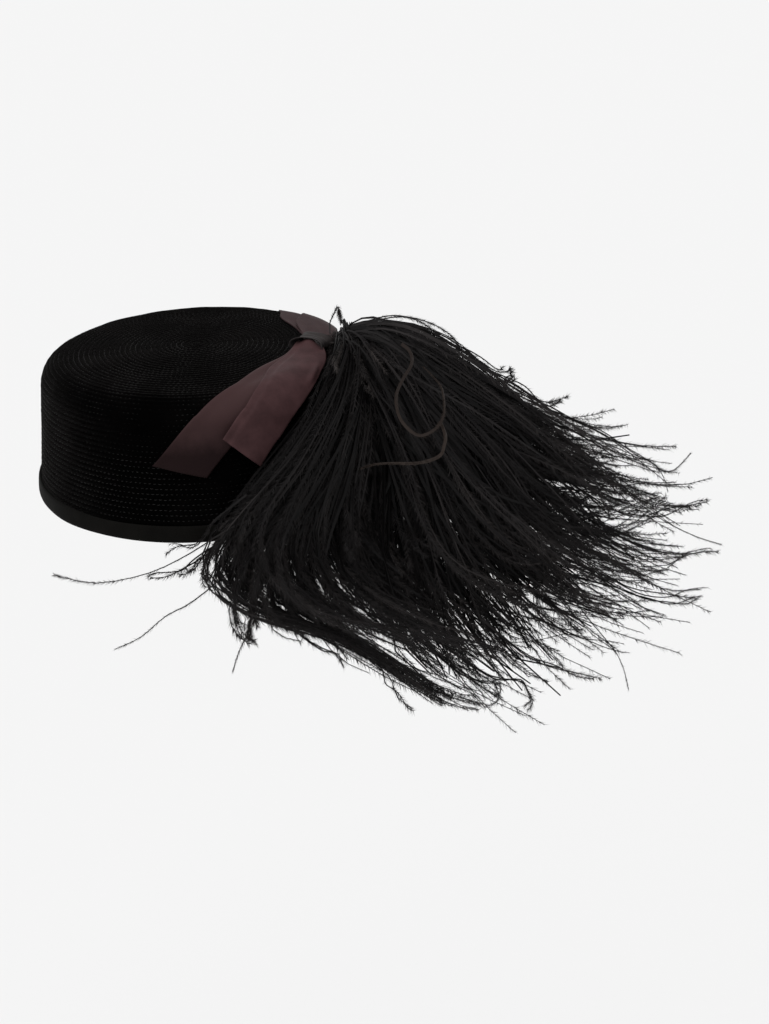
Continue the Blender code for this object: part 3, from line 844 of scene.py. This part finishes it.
def waver(paths, amount, curl, waves=(0.9, 1.9)):
    """Paths with a slow random sway that grows towards the tip, and a curl in the last part."""
    count = len(paths)
    t = np.linspace(0, 1, FLUE_STEPS + 1)
    grown = (amount[:, None] * t ** 1.2)[..., None]
    for many in waves:
        way = plume_draw.normal(size=(count, 1, 3)) * (1, 1, 0.6)
        phase = plume_draw.uniform(0, 2 * math.pi, (count, 1))
        swing = np.sin(2 * math.pi * many * t[None] + phase)[..., None]
        paths = paths + way * swing * grown / many
    late = np.clip((t - 0.52) / 0.48, 0, 1) ** 2
    way = plume_draw.uniform(-1, 1, (count, 1, 3)) + (0.25, -0.05, 0.45)
    length = curl * np.minimum(plume_draw.gamma(1.5, 1 / 1.5, (count, 1, 1)), 2.2)
    return paths + way * length * late[None, :, None]


def first_part(paths, share):
    """Each path up to a share of its length."""
    place = share[:, None] * np.linspace(0, FLUE_STEPS, FLUE_STEPS + 1)[None]
    step = np.minimum(place.astype(int), FLUE_STEPS - 1)
    part = (place - step)[..., None]
    row = np.arange(len(paths))[:, None]
    return paths[row, step] * (1 - part) + paths[row, step + 1] * part


def gather(middle, per_lock, radius, dye_and_painted_light, freedom):
    """Flues round the middle line of each lock, and their dye tone with any painted light."""
    lock = np.repeat(np.arange(len(middle)), per_lock)
    many = len(lock)
    paths = first_part(middle[lock], plume_draw.uniform(0.86, 1.0, many))
    tangent, side, above = path_frames(paths)
    angle = plume_draw.uniform(0, 2 * math.pi, (many, 1, 1))
    t = np.linspace(0, 1, FLUE_STEPS + 1)
    width = np.interp(t, *LOCK_PROFILE)[None, :, None]
    width = width * radius * np.sqrt(plume_draw.uniform(0, 1, (many, 1, 1)))
    paths = paths + (side * np.cos(angle) + above * np.sin(angle)) * width
    paths = waver(paths, plume_draw.uniform(0.0012, 0.0040, many), 0.0065 * freedom[lock, None, None],
                  waves=(1.4, 2.9))
    return paths, np.clip(dye_and_painted_light[lock] + plume_draw.normal(0, 0.12, many), 0, 0.74)


def lay_locks(count, per_lock, shortest=0.66, top=1.0, wander=1.0):
    """The flues of many locks, and their dye tone with painted light on the upper flues."""
    vary = plume_draw.normal
    heading = lock_headings(count)
    layer = plume_draw.uniform(0, top, count)
    out, drop, rise, end, hook = fan_at(heading)
    share = 1.05 - (1.05 - shortest) * plume_draw.uniform(0, 1, count) ** 2
    freedom = wander * np.interp(heading, *FREEDOM)
    middle = flue_paths(
        heading + freedom * vary(0, 2.5, count),
        PLUME_HEADING + (heading - PLUME_HEADING) * BASE_SPREAD + freedom * vary(0, 12, count),
        out * share * (0.86 + 0.14 * layer) * PLUME_REACH,
        drop * share * (1 - 0.05 * layer) * PLUME_DROP,
        -25 + (rise + 25) * layer ** 0.6 + freedom * vary(0, 6, count), end + vary(0, 12, count),
        hook * share ** 3 * plume_draw.uniform(0.65, 1.2, count) * PLUME_REACH)
    middle = spread_roots(middle, 0.20)
    middle = waver(middle, freedom * plume_draw.uniform(0.004, 0.014, count), 0.013 * freedom[:, None, None])
    # Painted light: 0.22 * layer makes the upper flues lighter. The other terms vary the dye tone from flue
    # to flue.
    dye_and_painted_light = 0.28 + 0.06 * freedom + 0.22 * layer + vary(0, 0.11, count)
    return gather(middle, per_lock, LOCK_RADIUS, dye_and_painted_light, freedom)


lock_paths, lock_dye_and_light = lay_locks(LOCKS, FLUES_PER_LOCK)
loose_paths, loose_dye_and_light = lay_locks(60, 1, wander=1.8)
print(len(lock_paths), "flues in locks and", len(loose_paths), "loose ones")

# %% [markdown]
# On the lower left three big locks hang down the front of the crown and then sweep away along the
# bottom of the plume. Each follows its own places, because no row of the fan turns that far.

# %% Swept locks
SWEPT = [   # millimetres, from the head to the tip
    [(78, -26, 76), (69, -46, 63), (55, -72, 44), (34, -98, 23), (18, -114, 6), (13, -122, -6),
     (23, -128, -17), (44, -130, -28), (70, -124, -40), (97, -116, -62), (117, -110, -81)],
    [(79, -26, 76), (72, -44, 62), (59, -70, 38), (43, -94, 17), (29, -108, -1), (26, -116, -13),
     (37, -120, -24), (62, -120, -38), (88, -115, -56), (114, -107, -80), (128, -103, -92)],
    [(80, -26, 76), (75, -42, 61), (66, -66, 36), (55, -88, 12), (44, -100, -8), (45, -106, -24),
     (59, -110, -36), (82, -108, -53), (104, -102, -75), (126, -96, -92), (146, -90, -103)],
]
swept_middle = np.stack([smooth_rows(row, FLUE_STEPS + 1) for row in SWEPT]) / 1000
swept_paths, swept_cast = gather(
    swept_middle, 20, 0.0085, np.array([0.42, 0.36, 0.40]), np.array([0.4, 0.5, 0.7]))

# %% [markdown]
# Inside the plume the flues are matted, and hardly a barb shows. A plain thicker strand stands for
# a few of them stuck together. They end well before the tips, and keep light from coming through.
# Above the swept locks they end sooner, because there the plume shows small holes. They are
# painted darker than the other flues, as painted shade.

# %% Matted strands inside
MATTED = 1000
matted_paths, matted_dye_and_shade = lay_locks(MATTED, 1, shortest=0.62, top=0.5)
over_swept = matted_paths[:, -1, 0] < 0.090
matted_share = np.where(over_swept, 0.62, 0.80) + plume_draw.uniform(0, 0.15, MATTED)
matted_paths = first_part(matted_paths, matted_share)[:, ::2]
# Painted shade: the matted strands inside the plume are made darker.
matted_dye_and_shade = matted_dye_and_shade * 0.35

# %% [markdown]
# Round the head the flues are short and stand out on all sides as down. They hide where the
# feathers are sewn on.

# %% Down round the head
DOWN = 200
down_heading = plume_draw.uniform(-120, 150, DOWN)
down_length = np.interp(down_heading, (20, 130), (0.034, 0.016)) * plume_draw.uniform(0.5, 1.4, DOWN)
down_rise = plume_draw.uniform(5, 66, DOWN)
down_paths = flue_paths(
    down_heading, down_heading * 0.8 - 10, down_length,
    down_length * plume_draw.uniform(0.0, 0.9, DOWN), down_rise,
    plume_draw.uniform(-75, -30, DOWN), down_length * 0.1)
down_paths = waver(spread_roots(down_paths, 0.22), plume_draw.uniform(0.001, 0.002, DOWN), 0.003)
down_cast = plume_draw.uniform(0.45, 1.0, DOWN)

# %% [markdown]
# A few single flues stray far from the rest, and give the outline its life. Each is a smooth curve
# through a handful of places.

# %% Stray flues
STRAYS = [   # millimetres, from the head to the tip
    [(72, -22, 74), (62, -70, 56), (42, -108, 26), (18, -117, 14), (0, -121, 4), (-20, -121, -5),
     (-45, -121, -9), (-64, -121, -4)],
    [(72, -22, 74), (60, -72, 52), (40, -108, 12), (18, -118, -8), (1, -121, -21), (-12, -121, -28),
     (-25, -121, -39), (-38, -121, -45)],
    [(73, -22, 74), (66, -74, 50), (50, -108, 4), (34, -120, -28), (24, -121, -46), (19, -120, -60)],
    [(76, -20, 76), (130, -30, 73), (185, -38, 34), (230, -42, -8), (256, -41, -26), (275, -40, -34)],
    [(76, -20, 72), (130, -24, 56), (191, -16, 34), (236, -4, 4), (252, -2, -7), (264, 0, 3)],
    [(76, -20, 76), (126, -44, 64), (178, -66, 16), (214, -78, -24), (238, -80, -40), (257, -80, -41)],
    [(76, -20, 76), (118, -50, 58), (160, -74, 2), (196, -80, -50), (216, -80, -78), (222, -80, -98)],
    [(71, -14, 81), (71, -8, 85), (73, -3, 88), (75, -1, 91), (76, -2, 88), (77, -6, 84)],
    [(76, -18, 78), (90, -6, 83), (108, 2, 84), (124, 2, 80), (136, 0, 72), (141, -3, 62)],
    [(76, -18, 78), (92, -4, 81), (112, 2, 80), (132, 2, 73), (146, -2, 63), (152, -8, 54)],
    [(76, -18, 78), (88, -8, 84), (104, -2, 86), (118, -4, 83), (128, -9, 76), (134, -14, 69)],
]
stray_paths = np.stack([smooth_rows(stray, FLUE_STEPS + 1) for stray in STRAYS]) / 1000
stray_cast = np.full(len(STRAYS), 0.55)
FRINGE = [   # millimetres, single tips that reach out of the plume, two flues each
    [(30, -108, 30), (15, -112, 19), (5, -116, 9), (-12, -118, 5)],
    [(28, -110, 20), (14, -116, 7), (6, -118, -1), (-4, -119, -7)],
    [(20, -112, 8), (1, -116, -3), (-10, -118, -7), (-22, -119, -9)],
    [(58, -118, -36), (82, -110, -58), (95, -104, -74), (101, -100, -88), (108, -98, -98)],
    [(44, -127, -28), (54, -125, -37), (64, -122, -47), (71, -120, -53), (76, -118, -62)],
    [(120, -92, -58), (144, -90, -78), (154, -88, -84), (166, -86, -88), (170, -86, -95), (169, -87, -101),
     (164, -88, -106)],
    [(110, -92, -56), (131, -90, -77), (144, -88, -86), (152, -88, -88), (152, -89, -94), (148, -90, -98)],
    [(140, -84, -24), (167, -84, -48), (188, -80, -63), (207, -78, -72), (228, -76, -76)],
    [(145, -88, -50), (165, -86, -70), (180, -82, -81), (194, -80, -87), (205, -79, -92)],
    [(180, -66, -14), (208, -60, -38), (230, -55, -53), (249, -52, -58), (266, -50, -55)],
    [(185, -66, -22), (213, -62, -46), (235, -58, -57), (252, -55, -61), (264, -54, -58)],
    [(190, -54, 4), (214, -50, -19), (236, -46, -32), (255, -44, -37), (272, -42, -36)],
    [(185, -48, 14), (210, -44, -5), (231, -40, -16), (250, -38, -14), (267, -36, -9)],
    [(160, -24, 52), (191, -20, 36), (213, -14, 22), (235, -10, 3), (255, -8, -13)],
    [(126, -16, 76), (144, -10, 67), (155, -8, 58), (162, -6, 55), (167, -6, 58)],
    [(130, -18, 72), (149, -12, 62), (160, -10, 50), (165, -8, 52), (166, -8, 56)],
    [(150, -18, 60), (170, -12, 48), (181, -10, 38), (190, -8, 37), (198, -8, 41)],
]
fringe_middle = np.stack([smooth_rows(row, FLUE_STEPS + 1) for row in FRINGE]) / 1000
fringe_paths, fringe_cast = gather(
    fringe_middle, 2, 0.0016, np.full(len(FRINGE), 0.42), np.full(len(FRINGE), 0.15))

# %% [markdown]
# Now the shafts and barbs. A shaft is a row of tiny triangles joined up, thinner towards the tip,
# and as wide as the dense middle of a flue. A barb leaves it at a slant, on one of two opposite
# sides, and sags a little. Flues are twisted, so those sides turn along them. Most barbs are on the
# outer half, because those nearer the head are hidden. Their ends are painted lighter than the
# shaft as painted light, and the shaft is painted darker as painted shade, with painted highlights
# in waves along it. No part of a flue may go through the velvet, so all paths are first moved clear
# of the crown.

# %% Shafts and barbs
SHAFT_WIDTH = 0.00105
BARB_LENGTH = 0.0044
BARB_WIDTH = 0.00042
BARB_SLANTS = (20, 50)            # degrees from the shaft
# Painted light at the barb ends and painted shade on the shafts, as steps in the flue's tone.
PAINTED_LIGHT_AT_BARB_ENDS = 0.25
PAINTED_SHADE_ON_SHAFT = 0.14
barb_draw = np.random.default_rng(23)


def shaft_mesh(paths, width):
    """Points, faces and the flue that each point belongs to."""
    tangent, side, above = path_frames(paths)
    t = np.linspace(0, 1, paths.shape[1])[None, :, None]
    half = width / 2 * (1 - 0.65 * t ** 2)
    rings = []
    for corner in range(3):
        angle = 2 * math.pi * corner / 3 + math.pi / 2
        rings.append(paths + (side * math.cos(angle) + above * math.sin(angle)) * half)
    points = np.stack(rings, 2)
    one = grid_faces(paths.shape[1], 3, closed=True)
    faces = one[None] + (points.shape[1] * 3 * np.arange(len(paths)))[:, None, None]
    return points.reshape(-1, 3), faces.reshape(-1, 4), np.repeat(np.arange(len(paths)), points.shape[1] * 3)


def barb_mesh(paths, each, length, width):
    """Slim triangles along every path: points, faces and the flue of each point."""
    count, stations = paths.shape[:2]
    tangent, side, above = path_frames(paths)
    t = barb_draw.uniform(0.0003, 1, (count, each)) ** (1 / 2.5)
    place = t * (stations - 1.001)
    step = place.astype(int)
    part = (place - step)[..., None]
    flue = np.arange(count)[:, None]

    def read(values):
        return values[flue, step] * (1 - part) + values[flue, step + 1] * part

    root, along, across, over = (read(values) for values in (paths, tangent, side, above))
    slant = np.radians(barb_draw.uniform(*BARB_SLANTS, t.shape))[..., None]
    roll, twist = barb_draw.uniform(0, math.pi, (count, 1)), barb_draw.normal(0, 1.5, (count, 1))
    round_it = (roll + twist * t + barb_draw.uniform(-0.6, 0.6, t.shape))[..., None]
    round_it = round_it + math.pi * barb_draw.integers(0, 2, t.shape)[..., None]
    out = across * np.cos(round_it) + over * np.sin(round_it)
    way = along * np.cos(slant) + out * np.sin(slant)
    way[..., 2] -= 0.10
    taper = np.minimum(0.35 + 1.6 * t, 1) * np.minimum(0.7 + 2.5 * (1 - t), 1)
    long = length * (taper * barb_draw.uniform(0.55, 1.15, t.shape))[..., None]
    foot = along * (width / 2)
    points = np.stack([root - foot, root + foot, root + way * long], 2).reshape(-1, 3)
    return points, np.arange(len(points)).reshape(-1, 3), np.repeat(np.arange(count), each * 3)


def make_flues(name, paths, dye_and_painted_light, each, width=SHAFT_WIDTH, length=BARB_LENGTH, barb=BARB_WIDTH,
               material=ostrich):
    """One piece of many flues, each with its own dye tone, painted light and shade, and so many barbs."""
    paths = clear_of_crown(paths, 0.0012)
    points, faces, flue = shaft_mesh(paths, width)
    place = np.tile(np.repeat(np.linspace(0, 1, paths.shape[1]), 3), len(paths))
    # Painted shade on the shaft, with painted highlights in waves along it.
    painted_shine = np.sin(2 * math.pi * (2.3 * place + 7.7 * dye_and_painted_light[flue]))
    dye_and_light_of_points, faces = dye_and_painted_light[flue] - PAINTED_SHADE_ON_SHAFT + 0.12 * painted_shine, faces.tolist()
    if each:
        barb_points, barb_faces, flue = barb_mesh(paths, each, length, barb)
        faces += (barb_faces + len(points)).tolist()
        points = np.concatenate([points, barb_points])
        # Painted light: the barb tips are made lighter.
        painted_light_at_ends = np.tile((0, 0, PAINTED_LIGHT_AT_BARB_ENDS), len(barb_faces))
        dye_and_light_of_points = np.concatenate([dye_and_light_of_points, dye_and_painted_light[flue] + painted_light_at_ends])
    piece = new_piece(name, points, faces, material, ["ostrich_plume"], smooth=False)
    piece.data.attributes.new(DYE_AND_LIGHT_ATTRIBUTE, "FLOAT", "POINT").data.foreach_set(
        "value", dye_and_light_of_points.astype(np.float32))
    return piece


# %% [markdown]
# One mesh of nearly a million triangles is hard to work with, so the flues are dealt out to a few
# pieces in the order of their headings, from the left of the plume to its far side.

# %% Make the plume
BARBS_PER_FLUE = 375
FARTHEST = 0.281
LOWEST = -0.115


def in_place(paths, dye_and_painted_light):
    """The flues that neither go through the crown nor stand out beyond the plume."""
    wrong = (paths[..., 2] < WALL_HEIGHT) & (
        np.hypot(paths[..., 0], paths[..., 1] / DEPTH_RATIO) < TOP_RADIUS)
    wrong = wrong | (paths[..., 0] > FARTHEST) | (paths[..., 2] < LOWEST)
    good = ~wrong.any(1)
    print(int((~good).sum()), "of", len(good), "flues left out")
    return paths[good], dye_and_painted_light[good]


all_paths, all_dye_and_light = in_place(
    np.concatenate([lock_paths, loose_paths, swept_paths]),
    np.concatenate([lock_dye_and_light, loose_dye_and_light, swept_cast]))
tips = all_paths[:, -1] - plume_root
order = np.argsort(np.arctan2(tips[:, 1], tips[:, 0]), kind="stable")
for number, group in enumerate(np.array_split(order, 4)):
    make_flues(f"plume_flues_{number + 1}", all_paths[group], all_dye_and_light[group], BARBS_PER_FLUE)
matted_paths, matted_dye_and_shade = in_place(matted_paths, matted_dye_and_shade)
make_flues("plume_matted", matted_paths, matted_dye_and_shade, 0, width=0.0022)
make_flues("plume_down", down_paths, down_cast, 170, width=0.0005, length=0.0034, barb=0.0003)
make_flues("plume_fringe", fringe_paths, fringe_cast, 150, width=0.0009, length=0.0038)
make_flues("plume_strays", stray_paths, stray_cast, 700, width=0.0008, length=0.0028, barb=0.00026)

# %% [markdown]
# Two brownish flues have come loose and curl over the front of the plume. Their barbs are wound
# close about the shaft, so they look thicker and smoother than the rest.

# %% Curled shafts
CURLS = [   # millimetres
    [(108, -46, 84), (112, -56, 83), (112, -66, 80), (107, -76, 75), (104, -84, 70), (105, -92, 63),
     (109, -98, 58), (115, -101, 55), (122, -101, 58), (126, -98, 63), (127, -93, 69), (126, -85, 74),
     (122, -76, 77), (118, -62, 77)],
    [(125, -95, 60), (127, -103, 56), (126, -107, 52), (124, -110, 48), (118, -112, 46),
     (111, -112, 45), (102, -111, 45), (93, -109, 44), (86, -106, 41)],
]
curl_paths = np.stack([smooth_rows(curl, 61) for curl in CURLS]) / 1000
brown_quill = feather_material("brown_quill", [
    (0.0, (0.019, 0.0140, 0.0122)), (1.0, (0.038, 0.0290, 0.0245))], 0.55, 0.08, 0.0)
make_flues("plume_curls", curl_paths, np.array([0.3, 0.6]), 900, width=0.0021, length=0.0024, barb=0.0004,
           material=brown_quill)
